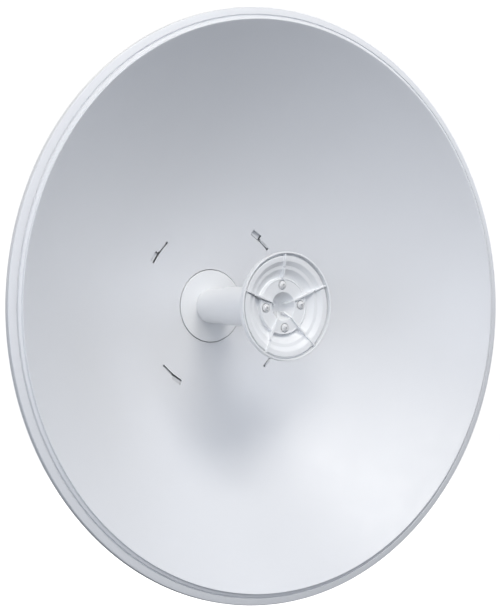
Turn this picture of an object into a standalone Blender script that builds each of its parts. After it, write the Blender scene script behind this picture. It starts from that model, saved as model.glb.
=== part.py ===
"""Round microwave dish antenna: reflector, front feed, rear hub with the radio housing, tilt bracket and mast clamp.

Metres, +Z up. The dish looks along -Y. The origin is on the flat pad that stands out of the mast bracket's rear.
Most pieces are made in one of two frames: the dish frame, whose +Z is the dish's axis towards the front,
and the world frame, for the bracket and the clamp.
"""

import math

import bmesh
import bpy
from mathutils import Matrix, Vector

# Clearances
SEAT_GAP = 0.0003
BOLT_HOLE_CLEARANCE = 0.0004
TAB_TO_HUB_CORNER = 0.0031
HOUSING_TO_EAR = 0.0050
HOUSING_TO_WEB = 0.0487
EAR_TO_WEB = 0.0107
SPLASH_NECK_MARGIN = 0.0013
BOLT_FROM_NOTCH = 0.0180
BOLT_TO_JAW_END = 0.0120
JAW_ABOVE_CHEEK = 0.0200
WEB_MARGIN = 0.0100

# Reflector: a paraboloid of sheet metal with a stepped, flanged rim
FOCAL_LENGTH = 0.155
BOWL_RADIUS = 0.310
SHEET = 0.0015
LIP_WIDTH = 0.002
LIP_DROP = 0.001
SHELF_WIDTH = 0.0025
STEP_WIDTH = 0.0015
FLANGE_SETBACK = 0.0045
FLANGE_WIDTH = 0.0065
CORNER_RADIUS = 0.002
RIM_WALL_HEIGHT = 0.0052
RIM_WALL_FLARE = 0.0005
BOWL_RINGS = 11
REFLECTOR_STEPS = 80

# Twist-lock slots of the reflector
SLOT_COUNT = 4
SLOT_INNER_RADIUS = 0.0982
SLIT_WIDTH = 0.0030
KEY_WIDTH = 0.0068
KEY_LENGTH = 0.0140
SLIT_LENGTH = 0.0180
KEY_START_CLOCK = 28.3

# Feed: base disc with its neck, tube, sleeve
BASE_RADIUS = 0.0430
BASE_GAP = 0.0005
BASE_THICKNESS = 0.0030
NECK_RADIUS = 0.0280
TUBE_RADIUS = 0.0206
TUBE_FOOT_FILLET = 0.0010
SLEEVE_START = 0.0420
SLEEVE_WALL = 0.0016
FEED_TURN = 4.66

# Subreflector and its moulded cap
SPLASH_RADIUS = 0.0592
SPLASH_WALL = 0.0020
SPLASH_RIM_HEIGHT = 0.0060
SPLASH_FRONT = 0.1578
SPLASH_BELLY_RADIUS = 0.0440
SPLASH_BELLY_DEPTH = 0.0240
SPLASH_DEPTH = 0.0365
CAP_RING_DROP = 0.0018
CAP_RING_WIDTH = 0.0065
CAP_STEP_DROP = 0.0030
CAP_STEP_WIDTH = 0.0085
CAP_FLOOR_DROP = 0.0125
CAP_DISC_RADIUS = 0.0310
CAP_DISC_DROP = 0.0088
FUNNEL_MOUTH_RADIUS = 0.0160
FUNNEL_FLOOR_RADIUS = 0.0060
FUNNEL_DEPTH = 0.0160
CAP_WEB = 0.0020
RIB_COUNT = 5
RIB_THICKNESS = 0.0016
RIB_INNER_RADIUS = 0.0070
RIB_DROP_AT_DISC = 0.0050
RIB_DROP_INSIDE = 0.0150
CAP_SCREW_COUNT = 4
CAP_SCREW_CIRCLE = 0.0235
CAP_SCREW_HEAD_RADIUS = 0.0044
CAP_SCREW_HEAD_HEIGHT = 0.0026
CAP_SCREW_RECESS_RADIUS = 0.0013
CAP_SCREW_RECESS_DEPTH = 0.0012
DOME_STEPS = 4

# Rear hub and its lock tabs
HUB_WALL = 0.0040
HUB_DEPTH = 0.0260
HUB_EDGE = 0.0080
HUB_HOLE_RADIUS = 0.0340
TAB_LENGTH = 0.0120
TAB_THICKNESS = 0.0016
TAB_SET_IN = 0.0011

# Radio housing
HOUSING_WIDTH = 0.0960
HOUSING_HEIGHT = 0.1300
HOUSING_LENGTH = 0.0700
HOUSING_EDGE = 0.0080
COVER_WIDTH = 0.0440
COVER_LENGTH = 0.0380
COVER_HEIGHT = 0.0100
COVER_EDGE = 0.0025

# Tilt ears on the hub
EAR_THICKNESS = 0.0050
EAR_FOOT_WIDTH = 0.0320
EAR_HALF_HEIGHT = 0.0450
EAR_TIP_HALF_HEIGHT = 0.0420
EAR_SCREW_FROM_BEND = 0.0210
EAR_SCREW_Z = 0.0300
EAR_SCREW_HEAD_RADIUS = 0.0060
EAR_SCREW_HEAD_HEIGHT = 0.0035

# Mast bracket, a channel of bent plate with a flat pad on its web
PLATE = 0.0040
PAD_RISE = 0.0010
PAD_HALF_WIDTH = 0.0300
PAD_HALF_HEIGHT = 0.0380
CHEEK_LENGTH = 0.0560
CHEEK_HALF_HEIGHT = 0.0500
TILT_BOLT_BEHIND_CHEEK_TIP = 0.0200
TILT_BOLT_Z = 0.0280

# Mast clamp
JAW_DEPTH = 0.0220
JAW_HEIGHT = 0.0300
JAW_OPENING = 0.0327
NOTCH_HALF_WIDTH = 0.0300
NOTCH_DEPTH = 0.0150
CLAMP_BOLT_TAIL = 0.0100

# Fasteners
BOLT_RADIUS = 0.0040
HEX_RADIUS = 0.0075
HEX_HEIGHT = 0.0053
NUT_HEIGHT = 0.0065
BOLT_TAIL = 0.0030
ROUND_HEAD_RADIUS = 0.0090
ROUND_HEAD_HEIGHT = 0.0045

# Places that follow from the sizes above, from the dish back to the mast
HUB_RADIUS = (
    SLOT_INNER_RADIUS + TAB_SET_IN + TAB_THICKNESS + TAB_TO_HUB_CORNER + HUB_EDGE + HUB_WALL
)
EAR_INNER_X = HOUSING_WIDTH / 2 + HOUSING_TO_EAR
CHEEK_INNER_X = EAR_INNER_X + EAR_THICKNESS + SEAT_GAP
WEB_REAR = -PAD_RISE
WEB_FRONT = WEB_REAR - PLATE
CHEEK_TIP = WEB_FRONT - CHEEK_LENGTH
TILT_BOLT_Y = CHEEK_TIP + TILT_BOLT_BEHIND_CHEEK_TIP
EAR_TIP = WEB_FRONT - EAR_TO_WEB
HUB_Y = WEB_FRONT - HOUSING_TO_WEB - HOUSING_LENGTH - SEAT_GAP
VERTEX_Y = HUB_Y - HUB_DEPTH
CLAMP_BOLT_X = NOTCH_HALF_WIDTH + BOLT_FROM_NOTCH
JAW_HALF_WIDTH = CLAMP_BOLT_X + BOLT_TO_JAW_END
JAW_Z = CHEEK_HALF_HEIGHT + JAW_ABOVE_CHEEK
JAW_BACK = WEB_REAR + SEAT_GAP + 2 * JAW_DEPTH + JAW_OPENING
WEB_HALF_HEIGHT = JAW_Z + JAW_HEIGHT / 2 + WEB_MARGIN

# The middle of a rounded corner lies this share of its radius from both faces
CORNER_SHARE = 1 - math.sqrt(0.5)

COAT_WHITE = (0.80, 0.82, 0.84)
MOULDED_WHITE = (0.84, 0.85, 0.86)
ZINC = (0.55, 0.56, 0.57)
STAINLESS = (0.62, 0.62, 0.61)


def clear_scene():
    for thing in list(bpy.data.objects):
        bpy.data.objects.remove(thing)


def new_collection(name, helper=False):
    made = bpy.data.collections.new(name)
    made.hide_render = helper
    bpy.context.scene.collection.children.link(made)
    return made


def principled(name, colour, roughness, metallic=0.0):
    made = bpy.data.materials.new(name)
    made.use_nodes = True
    shader = made.node_tree.nodes["Principled BSDF"]
    shader.inputs["Base Color"].default_value = (*colour, 1.0)
    shader.inputs["Roughness"].default_value = roughness
    shader.inputs["Metallic"].default_value = metallic
    return made


def add_part(name, mesh, look, parent=None):
    part = bpy.data.objects.new(name, mesh)
    colour, roughness, metallic = look
    mesh.materials.append(principled(name, colour, roughness, metallic))
    PARTS.objects.link(part)
    part.parent = parent
    return part


def add_cutter(name, mesh, parent=None):
    cutter = bpy.data.objects.new(name, mesh)
    CUTTERS.objects.link(cutter)
    cutter.parent = parent
    cutter.hide_render = True
    cutter.display_type = "WIRE"
    return cutter


def boolean(part, other, operation="DIFFERENCE"):
    cut = part.modifiers.new(other.name, "BOOLEAN")
    cut.operation = operation
    cut.object = other
    cut.solver = "EXACT"


def mesh_of(name, build):
    """A mesh that the build function fills through a bmesh."""
    shape = bmesh.new()
    build(shape)
    mesh = bpy.data.meshes.new(name)
    shape.to_mesh(mesh)
    shape.free()
    return mesh


def box_mesh(name, low, high, edge=0.0, segments=2):
    def build(shape):
        bmesh.ops.create_cube(shape, size=1.0)
        size = [b - a for a, b in zip(low, high)]
        middle = [(a + b) / 2 for a, b in zip(low, high)]
        bmesh.ops.scale(shape, vec=size, verts=shape.verts)
        bmesh.ops.translate(shape, vec=middle, verts=shape.verts)
        if edge:
            bmesh.ops.bevel(
                shape, geom=shape.edges[:], offset=edge, segments=segments, profile=0.5, affect="EDGES"
            )

    return mesh_of(name, build)


def rod_mesh(name, radius, start, end, sides=16):
    """A cylinder between two points."""

    def build(shape):
        along = Vector(end) - Vector(start)
        turn = Vector((0, 0, 1)).rotation_difference(along).to_matrix().to_4x4()
        place = Matrix.Translation((Vector(start) + Vector(end)) / 2) @ turn
        bmesh.ops.create_cone(
            shape,
            cap_ends=True,
            segments=sides,
            radius1=radius,
            radius2=radius,
            depth=along.length,
            matrix=place,
        )

    return mesh_of(name, build)


def turned(name, profile, look, parent, steps=48, closed=False):
    """A profile of (radius, height) points turned round local Z. Its outer side runs from top to bottom."""

    def build(shape):
        points = [shape.verts.new((radius, 0, height)) for radius, height in profile]
        pairs = list(zip(points, points[1:]))
        if closed:
            pairs.append((points[-1], points[0]))
        for first, second in pairs:
            shape.edges.new((first, second))

    part = add_part(name, mesh_of(name, build), look, parent)
    screw = part.modifiers.new("Turn", "SCREW")
    screw.steps = steps
    screw.render_steps = steps
    screw.use_merge_vertices = True
    screw.merge_threshold = 0.00001
    screw.use_smooth_shade = True
    return part


def outline(name, points, thickness, look, parent=None):
    """A flat outline in local XY as a filled curve, thickness centred on its plane."""
    curve = bpy.data.curves.new(name, "CURVE")
    curve.dimensions = "2D"
    curve.fill_mode = "BOTH"
    curve.extrude = thickness / 2
    spline = curve.splines.new("POLY")
    spline.points.add(len(points) - 1)
    for point, (x, y) in zip(spline.points, points):
        point.co = (x, y, 0, 1)
    spline.use_cyclic_u = True
    return to_mesh_part(name, curve, look, parent)


def to_mesh_part(name, curve, look, parent):
    """The curve's solid as a mesh part, its caps welded, so that it can be cut."""
    guide = bpy.data.objects.new(name + "_curve", curve)
    bpy.context.scene.collection.objects.link(guide)
    bpy.context.view_layer.update()
    mesh = bpy.data.meshes.new_from_object(guide.evaluated_get(bpy.context.evaluated_depsgraph_get()))
    shape = bmesh.new()
    shape.from_mesh(mesh)
    bmesh.ops.remove_doubles(shape, verts=shape.verts, dist=0.00001)
    bmesh.ops.recalc_face_normals(shape, faces=shape.faces)
    shape.to_mesh(mesh)
    shape.free()
    bpy.data.objects.remove(guide)
    mesh.name = name
    mesh.materials.clear()
    if look is None:
        return add_cutter(name, mesh, parent)
    return add_part(name, mesh, look, parent)


def empty(name, location, rotation, parent=None):
    made = bpy.data.objects.new(name, None)
    bpy.context.scene.collection.objects.link(made)
    made.location = location
    made.rotation_euler = rotation
    made.parent = parent
    return made


def clock(radius, degrees):
    """A point of the dish frame at this angle, clockwise from the top as seen from the front."""
    angle = math.radians(degrees)
    return radius * math.sin(angle), radius * math.cos(angle)


def front_of_sheet(radius):
    return radius**2 / (4 * FOCAL_LENGTH)


def back_of_sheet(radius):
    slope = radius / (2 * FOCAL_LENGTH)
    return front_of_sheet(radius) - SHEET * math.sqrt(1 + slope**2)


def reflector_profile():
    """The sheet's section: along the front from the centre hole to the rim, and back along the rear."""
    hole = BASE_RADIUS + BASE_GAP
    crest = front_of_sheet(BOWL_RADIUS)
    radii = [hole + (BOWL_RADIUS - hole) * i / (BOWL_RINGS - 1) for i in range(BOWL_RINGS)]
    front = [(r, front_of_sheet(r)) for r in radii]
    lip = BOWL_RADIUS + LIP_WIDTH
    shelf = lip + SHELF_WIDTH
    step = shelf + STEP_WIDTH
    flange = crest - FLANGE_SETBACK
    wall = step + FLANGE_WIDTH + CORNER_RADIUS
    rim = [
        (lip, crest - LIP_DROP),
        (shelf, crest - LIP_DROP),
        (step, flange),
        (step + FLANGE_WIDTH, flange),
        (wall - CORNER_SHARE * CORNER_RADIUS, flange - CORNER_SHARE * CORNER_RADIUS),
        (wall, flange - CORNER_RADIUS),
        (wall + RIM_WALL_FLARE, flange - RIM_WALL_HEIGHT),
    ]
    inside = [
        (wall + RIM_WALL_FLARE - SHEET, flange - RIM_WALL_HEIGHT),
        (wall - SHEET, flange - CORNER_RADIUS),
        (step + FLANGE_WIDTH, flange - SHEET),
        (step - SHEET, flange - SHEET),
        (shelf - SHEET, crest - LIP_DROP - SHEET),
        (BOWL_RADIUS + SHEET, crest - LIP_DROP - SHEET),
    ]
    back = [(r, back_of_sheet(r)) for r in reversed(radii[:-1])]
    return front + rim + inside + back


def slot_cutter(index):
    """One keyhole: a wide end for the hook's head and a narrow slit that it turns into."""
    start = KEY_START_CLOCK + 360 * index / SLOT_COUNT
    middle = SLOT_INNER_RADIUS + KEY_WIDTH / 2
    key_angle = math.degrees(KEY_LENGTH / middle)
    slit_angle = math.degrees(SLIT_LENGTH / middle)
    slit_outer = SLOT_INNER_RADIUS + SLIT_WIDTH
    key_outer = SLOT_INNER_RADIUS + KEY_WIDTH
    end = start + key_angle + slit_angle
    halfway = start + key_angle + slit_angle / 2
    points = [
        clock(SLOT_INNER_RADIUS, start),
        clock(key_outer, start),
        clock(key_outer, start + key_angle),
        clock(slit_outer, start + key_angle),
        clock(slit_outer, halfway),
        clock(slit_outer, end),
        clock(SLOT_INNER_RADIUS, end),
        clock(SLOT_INNER_RADIUS, halfway),
        clock(SLOT_INNER_RADIUS, start + key_angle),
    ]
    depth = 2 * front_of_sheet(SLOT_INNER_RADIUS)
    cutter = outline(f"slot_cutter_{index + 1}", points, depth, None, DISH)
    cutter.location = (0, 0, front_of_sheet(SLOT_INNER_RADIUS))
    return cutter, halfway


def make_reflector():
    reflector = turned(
        "reflector_dish", reflector_profile(), PAINTED, DISH, steps=REFLECTOR_STEPS, closed=True
    )
    for index in range(SLOT_COUNT):
        cutter, halfway = slot_cutter(index)
        boolean(reflector, cutter)
        make_lock_tab(index, halfway)


def make_lock_tab(index, degrees):
    """A steel tab of the hub, standing in the slit and flush with the bowl."""
    inner = SLOT_INNER_RADIUS + TAB_SET_IN
    low = (-TAB_LENGTH / 2, inner, SEAT_GAP + HUB_WALL - HUB_DEPTH)
    high = (TAB_LENGTH / 2, inner + TAB_THICKNESS, front_of_sheet(SLOT_INNER_RADIUS))
    tab = add_part(f"lock_tab_{index + 1}", box_mesh("lock_tab", low, high), GALVANISED, DISH)
    tab.rotation_euler = (0, 0, -math.radians(degrees))


def make_feed():
    top = front_of_sheet(BASE_RADIUS)
    neck_end = SEAT_GAP - HUB_DEPTH
    turned(
        "feed_base",
        [
            (0, top),
            (BASE_RADIUS, top),
            (BASE_RADIUS, top - BASE_THICKNESS),
            (NECK_RADIUS, top - BASE_THICKNESS),
            (NECK_RADIUS, neck_end),
            (0, neck_end),
        ],
        MOULDED,
        DISH,
        steps=56,
    )
    tube_end = SPLASH_FRONT - SPLASH_DEPTH - SEAT_GAP
    foot = top + SEAT_GAP
    fillet = [
        (
            TUBE_RADIUS + TUBE_FOOT_FILLET * (1 - math.sin(math.radians(angle))),
            foot + TUBE_FOOT_FILLET * (1 - math.cos(math.radians(angle))),
        )
        for angle in (90, 60, 30, 0)
    ]
    turned(
        "feed_tube",
        [(0, tube_end), (TUBE_RADIUS, tube_end), *fillet, (0, foot)],
        MOULDED,
        DISH,
    )
    bore = TUBE_RADIUS + SEAT_GAP
    outer = bore + SLEEVE_WALL
    chamfer = SLEEVE_WALL / 2
    turned(
        "feed_sleeve",
        [
            (outer, tube_end),
            (outer, SLEEVE_START + chamfer),
            (outer - chamfer, SLEEVE_START),
            (bore, SLEEVE_START),
            (bore, tube_end),
        ],
        MOULDED,
        DISH,
        closed=True,
    )


def splash_section(inset):
    """The subreflector's section from its rim to its centre, moved inwards by inset at right angles to itself."""
    back = SPLASH_FRONT - SPLASH_DEPTH
    neck = TUBE_RADIUS + SEAT_GAP + SLEEVE_WALL + SPLASH_NECK_MARGIN
    points = [
        (SPLASH_RADIUS, SPLASH_FRONT),
        (SPLASH_RADIUS, SPLASH_FRONT - SPLASH_RIM_HEIGHT),
        (SPLASH_BELLY_RADIUS, SPLASH_FRONT - SPLASH_BELLY_DEPTH),
        (neck, back),
        (0, back),
    ]
    normals = []
    for (r0, z0), (r1, z1) in zip(points, points[1:]):
        length = math.hypot(r1 - r0, z1 - z0)
        normals.append(Vector(((z1 - z0) / length, (r0 - r1) / length)))
    pairs = zip(points, [normals[0], *normals], [*normals, normals[-1]])
    moved = [Vector(point) + inset * (n + m) / (1 + n.dot(m)) for point, n, m in pairs]
    return [tuple(point) for point in moved]


def make_subreflector():
    recess = list(reversed(splash_section(SPLASH_WALL)))
    turned("subreflector", recess + splash_section(0), MOULDED, FEED, steps=56)


def rib_outline(short):
    """A rib seen from the side: x is the radius and y the height. A short one ends at the raised disc."""
    rim = SPLASH_RADIUS - SPLASH_WALL - SEAT_GAP
    ring = SPLASH_FRONT - CAP_RING_DROP
    root = SPLASH_FRONT - CAP_DISC_DROP - FUNNEL_DEPTH / 2
    floor = SPLASH_FRONT - CAP_FLOOR_DROP - CAP_WEB / 2
    over_disc = [
        (RIB_INNER_RADIUS, SPLASH_FRONT - RIB_DROP_INSIDE),
        (FUNNEL_MOUTH_RADIUS, SPLASH_FRONT - CAP_DISC_DROP + CAP_WEB),
    ]
    under_disc = [
        (FUNNEL_MOUTH_RADIUS + CAP_WEB, root),
        (RIB_INNER_RADIUS, root),
    ]
    middle = [
        (CAP_DISC_RADIUS, SPLASH_FRONT - RIB_DROP_AT_DISC),
        (rim - CAP_RING_WIDTH, SPLASH_FRONT - CAP_RING_DROP / 2),
        (rim - CAP_RING_WIDTH / 2, SPLASH_FRONT),
        (rim - SEAT_GAP, SPLASH_FRONT),
        (rim - SEAT_GAP, ring - CAP_WEB / 2),
        (rim - CAP_RING_WIDTH - CAP_STEP_WIDTH, SPLASH_FRONT - CAP_STEP_DROP - CAP_RING_DROP - CAP_WEB),
        (CAP_DISC_RADIUS + CAP_WEB, floor),
    ]
    if short:
        return middle + [(CAP_DISC_RADIUS, floor)]
    return over_disc + middle + under_disc


def make_cap():
    """The moulded cap in the subreflector: stepped rings, raised disc, central funnel and radial ribs."""
    outer = SPLASH_RADIUS - SPLASH_WALL - SEAT_GAP
    ring = SPLASH_FRONT - CAP_RING_DROP
    step = ring - CAP_STEP_DROP
    floor = SPLASH_FRONT - CAP_FLOOR_DROP
    disc = SPLASH_FRONT - CAP_DISC_DROP
    ring_inner = outer - CAP_RING_WIDTH
    step_inner = ring_inner - CAP_STEP_WIDTH
    back = splash_section(SPLASH_WALL + SEAT_GAP)[1:]
    profile = [
        (0, disc - FUNNEL_DEPTH),
        (FUNNEL_FLOOR_RADIUS, disc - FUNNEL_DEPTH),
        (FUNNEL_MOUTH_RADIUS, disc),
        (CAP_DISC_RADIUS, disc),
        (CAP_DISC_RADIUS, floor),
        (step_inner, floor),
        (step_inner, step),
        (ring_inner, step),
        (ring_inner, ring),
        (outer, ring),
    ] + back
    cap = turned("feed_cap", profile, MOULDED, FEED, steps=56)
    for index in range(RIB_COUNT):
        rib = outline(f"rib_shape_{index + 1}", rib_outline(index == 0), RIB_THICKNESS, None, FEED)
        across = math.radians(90 - 360 * index / RIB_COUNT)
        rib.matrix_local = Matrix.Rotation(across, 4, "Z") @ Matrix.Rotation(math.pi / 2, 4, "X")
        boolean(cap, rib, "UNION")


def make_cap_screws():
    """Domed heads with a round recess, on the raised disc."""
    seat = SPLASH_FRONT - CAP_DISC_DROP + SEAT_GAP
    radius, height = CAP_SCREW_HEAD_RADIUS, CAP_SCREW_HEAD_HEIGHT
    mouth = math.acos(CAP_SCREW_RECESS_RADIUS / radius)
    floor = height - CAP_SCREW_RECESS_DEPTH
    dome = [mouth * (1 - share / DOME_STEPS) for share in range(DOME_STEPS + 1)]
    profile = [
        (0, floor),
        (CAP_SCREW_RECESS_RADIUS, floor),
        *[(radius * math.cos(angle), height * math.sin(angle)) for angle in dome],
        (0, 0),
    ]
    for index in range(CAP_SCREW_COUNT):
        screw = turned(f"cap_screw_{index + 1}", profile, SCREW_STEEL, FEED, steps=20)
        x, y = clock(CAP_SCREW_CIRCLE, 360 * index / CAP_SCREW_COUNT)
        screw.location = (x, y, seat)


def make_hub():
    """A turned drum behind the bowl. Its front edge follows the sheet's back."""
    inner = HUB_RADIUS - HUB_WALL
    bevel = HUB_EDGE
    profile = [
        (HUB_RADIUS, back_of_sheet(HUB_RADIUS) - SEAT_GAP),
        (HUB_RADIUS, bevel - HUB_DEPTH),
        (HUB_RADIUS - CORNER_SHARE * bevel, CORNER_SHARE * bevel - HUB_DEPTH),
        (HUB_RADIUS - bevel, -HUB_DEPTH),
        (HUB_HOLE_RADIUS, -HUB_DEPTH),
        (HUB_HOLE_RADIUS, HUB_WALL - HUB_DEPTH),
        (inner - bevel, HUB_WALL - HUB_DEPTH),
        (inner, HUB_WALL + bevel - HUB_DEPTH),
        (inner, back_of_sheet(inner) - SEAT_GAP),
    ]
    turned("rear_hub", profile, PAINTED, DISH, steps=56, closed=True)


def make_housing():
    face = HUB_Y + SEAT_GAP
    low = (-HOUSING_WIDTH / 2, face, -HOUSING_HEIGHT / 2)
    high = (HOUSING_WIDTH / 2, face + HOUSING_LENGTH, HOUSING_HEIGHT / 2)
    housing = add_part(
        "radio_housing", box_mesh("radio_housing", low, high, HOUSING_EDGE, 3), MOULDED
    )
    housing.data.shade_smooth()
    housing.data.set_sharp_from_angle(angle=math.radians(40))
    top = -HOUSING_HEIGHT / 2 - SEAT_GAP
    middle = face + HOUSING_LENGTH / 2
    low = (-COVER_WIDTH / 2, middle - COVER_LENGTH / 2, top - COVER_HEIGHT)
    high = (COVER_WIDTH / 2, middle + COVER_LENGTH / 2, top)
    add_part("port_cover", box_mesh("port_cover", low, high, COVER_EDGE), MOULDED)


def side_hole(name, side, y, z):
    """A hole along X through the ear and the cheek on one side."""
    start = (side * (EAR_INNER_X - EAR_THICKNESS), y, z)
    end = (side * (EAR_INNER_X + 2 * EAR_THICKNESS + 2 * PLATE), y, z)
    return add_cutter(name, rod_mesh(name, BOLT_RADIUS + BOLT_HOLE_CLEARANCE, start, end))


def make_ear(side, word):
    """A bent plate: its foot lies on the hub and its ear reaches back between the bracket's cheeks."""
    face = HUB_Y + SEAT_GAP
    inner, outer = side * EAR_INNER_X, side * (EAR_INNER_X + EAR_THICKNESS)
    foot = side * (EAR_INNER_X + EAR_FOOT_WIDTH)
    points = [
        (inner, face),
        (foot, face),
        (foot, face + EAR_THICKNESS),
        (outer, face + EAR_THICKNESS),
        (outer, EAR_TIP),
        (inner, EAR_TIP),
    ]
    ear = outline(f"tilt_ear_{word}", points, 2 * EAR_HALF_HEIGHT, GALVANISED)
    for height in (-TILT_BOLT_Z, TILT_BOLT_Z):
        boolean(ear, SIDE_HOLES[side, height])
    for upper in (-1, 1):
        trim_low = (side * (EAR_INNER_X - EAR_THICKNESS), EAR_TIP - EAR_HALF_HEIGHT / 2, 0)
        trim_high = (side * (EAR_INNER_X + 2 * EAR_THICKNESS), EAR_TIP + EAR_THICKNESS, EAR_HALF_HEIGHT)
        low = [min(a, b) for a, b in zip(trim_low, trim_high)]
        high = [max(a, b) for a, b in zip(trim_low, trim_high)]
        name = f"ear_trim_{word}_{upper + 2}"
        trim = add_cutter(name, box_mesh(name, low, high))
        trim.location = (0, 0, EAR_TIP_HALF_HEIGHT if upper > 0 else -EAR_TIP_HALF_HEIGHT - EAR_HALF_HEIGHT)
        boolean(ear, trim)
    for number, height in enumerate((-EAR_SCREW_Z, EAR_SCREW_Z)):
        seat = face + EAR_THICKNESS + SEAT_GAP
        x = side * (EAR_INNER_X + EAR_SCREW_FROM_BEND)
        start = (x, seat, height)
        end = (x, seat + EAR_SCREW_HEAD_HEIGHT, height)
        name = f"ear_screw_{word}_{number + 1}"
        add_part(name, rod_mesh(name, EAR_SCREW_HEAD_RADIUS, start, end, 12), FASTENER)


def make_bracket():
    """The mast bracket: a web with a flat pad on its rear and two cheeks that reach forward over the ears."""
    outer = CHEEK_INNER_X + PLATE
    points = [
        (-outer, WEB_REAR),
        (-outer, CHEEK_TIP),
        (-CHEEK_INNER_X, CHEEK_TIP),
        (-CHEEK_INNER_X, WEB_FRONT),
        (CHEEK_INNER_X, WEB_FRONT),
        (CHEEK_INNER_X, CHEEK_TIP),
        (outer, CHEEK_TIP),
        (outer, WEB_REAR),
    ]
    bracket = outline("mast_bracket", points, 2 * WEB_HALF_HEIGHT, GALVANISED)
    reach = outer + PLATE
    for upper in (-1, 1):
        low = (-reach, CHEEK_TIP - PLATE, 0)
        high = (reach, WEB_FRONT, WEB_HALF_HEIGHT)
        name = f"cheek_trim_{upper + 2}"
        trim = add_cutter(name, box_mesh(name, low, high))
        trim.location = (0, 0, CHEEK_HALF_HEIGHT if upper > 0 else -CHEEK_HALF_HEIGHT - WEB_HALF_HEIGHT)
        boolean(bracket, trim)
    for cutter in SIDE_HOLES.values():
        boolean(bracket, cutter)
    for cutter in CLAMP_HOLES.values():
        boolean(bracket, cutter)
    low = (-PAD_HALF_WIDTH, WEB_REAR - PLATE / 2, -PAD_HALF_HEIGHT)
    high = (PAD_HALF_WIDTH, 0, PAD_HALF_HEIGHT)
    boolean(bracket, add_cutter("pad_shape", box_mesh("pad_shape", low, high)), "UNION")


def make_jaw(name, back, opens, z):
    """A clamp jaw with a V notch. opens is +1 where the notch looks backwards and -1 forwards."""
    face = back + opens * JAW_DEPTH
    points = [
        (-JAW_HALF_WIDTH, back),
        (JAW_HALF_WIDTH, back),
        (JAW_HALF_WIDTH, face),
        (NOTCH_HALF_WIDTH, face),
        (0, face - opens * NOTCH_DEPTH),
        (-NOTCH_HALF_WIDTH, face),
        (-JAW_HALF_WIDTH, face),
    ]
    jaw = outline(name, points, JAW_HEIGHT, GALVANISED)
    jaw.location = (0, 0, z)
    for key, cutter in CLAMP_HOLES.items():
        if key[1] * z > 0:
            boolean(jaw, cutter)


def hex_bolt(name, seat, along, length):
    """A hexagon head on its seat and a shank, joined. The head stands off along -along."""
    seat, along = Vector(seat), Vector(along)
    head = add_part(name, rod_mesh(name, HEX_RADIUS, seat - along * HEX_HEIGHT, seat, 6), FASTENER)
    start = seat - along * HEX_HEIGHT / 2
    shank = add_cutter(name + "_shank", rod_mesh(name, BOLT_RADIUS, start, seat + along * length))
    boolean(head, shank, "UNION")


def nut(name, seat, along):
    seat, along = Vector(seat), Vector(along)
    end = seat + along * NUT_HEIGHT
    body = add_part(name, rod_mesh(name, HEX_RADIUS, seat, end, 6), FASTENER)
    hole = rod_mesh(name, BOLT_RADIUS + SEAT_GAP, seat - along * NUT_HEIGHT, end + along * NUT_HEIGHT)
    boolean(body, add_cutter(name + "_hole", hole))


def make_tilt_bolts(side, word):
    seat_x = side * (CHEEK_INNER_X + PLATE + SEAT_GAP)
    inner_x = side * (EAR_INNER_X - SEAT_GAP)
    length = abs(seat_x - inner_x) + NUT_HEIGHT + BOLT_TAIL
    for height, place in ((-TILT_BOLT_Z, "lower"), (TILT_BOLT_Z, "upper")):
        hex_bolt(f"tilt_bolt_{word}_{place}", (seat_x, TILT_BOLT_Y, height), (-side, 0, 0), length)
        nut(f"tilt_nut_{word}_{place}", (inner_x, TILT_BOLT_Y, height), (-side, 0, 0))


def make_clamp_bolts():
    """Round-headed bolts through the bracket's web and both jaws."""
    seat = WEB_FRONT - SEAT_GAP
    nut_seat = JAW_BACK + SEAT_GAP
    tail = nut_seat + NUT_HEIGHT + CLAMP_BOLT_TAIL
    words = {(-1, -1): "lower_left", (1, -1): "lower_right", (-1, 1): "upper_left", (1, 1): "upper_right"}
    for (side, upper), word in words.items():
        x, z = side * CLAMP_BOLT_X, upper * JAW_Z
        name = f"clamp_bolt_{word}"
        head = rod_mesh(name, ROUND_HEAD_RADIUS, (x, seat - ROUND_HEAD_HEIGHT, z), (x, seat, z), 16)
        bolt = add_part(name, head, FASTENER)
        start = (x, seat - ROUND_HEAD_HEIGHT / 2, z)
        boolean(bolt, add_cutter(name + "_shank", rod_mesh(name, BOLT_RADIUS, start, (x, tail, z))), "UNION")
        nut(f"clamp_nut_{word}", (x, nut_seat, z), (0, 1, 0))


def clamp_hole(side, upper):
    name = f"clamp_hole_{side + 2}_{upper + 2}"
    x, z = side * CLAMP_BOLT_X, upper * JAW_Z
    start, end = (x, WEB_FRONT - PLATE, z), (x, JAW_BACK + PLATE, z)
    return add_cutter(name, rod_mesh(name, BOLT_RADIUS + BOLT_HOLE_CLEARANCE, start, end))


PAINTED = (COAT_WHITE, 0.35, 0.0)
MOULDED = (MOULDED_WHITE, 0.42, 0.0)
GALVANISED = (ZINC, 0.45, 1.0)
FASTENER = (STAINLESS, 0.35, 1.0)
SCREW_STEEL = (STAINLESS, 0.3, 1.0)

clear_scene()
PARTS = new_collection("dish_antenna")
CUTTERS = new_collection("cutters", helper=True)

DISH = empty("dish_axis", (0, VERTEX_Y, 0), (math.pi / 2, 0, 0))
FEED = empty("feed_clocking", (0, 0, 0), (0, 0, math.radians(FEED_TURN)), DISH)

SIDE_HOLES = {
    (side, height): side_hole(f"side_hole_{side + 2}_{number}", side, TILT_BOLT_Y, height)
    for side in (-1, 1)
    for number, height in enumerate((-TILT_BOLT_Z, TILT_BOLT_Z))
}
CLAMP_HOLES = {(side, upper): clamp_hole(side, upper) for side in (-1, 1) for upper in (-1, 1)}

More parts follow.
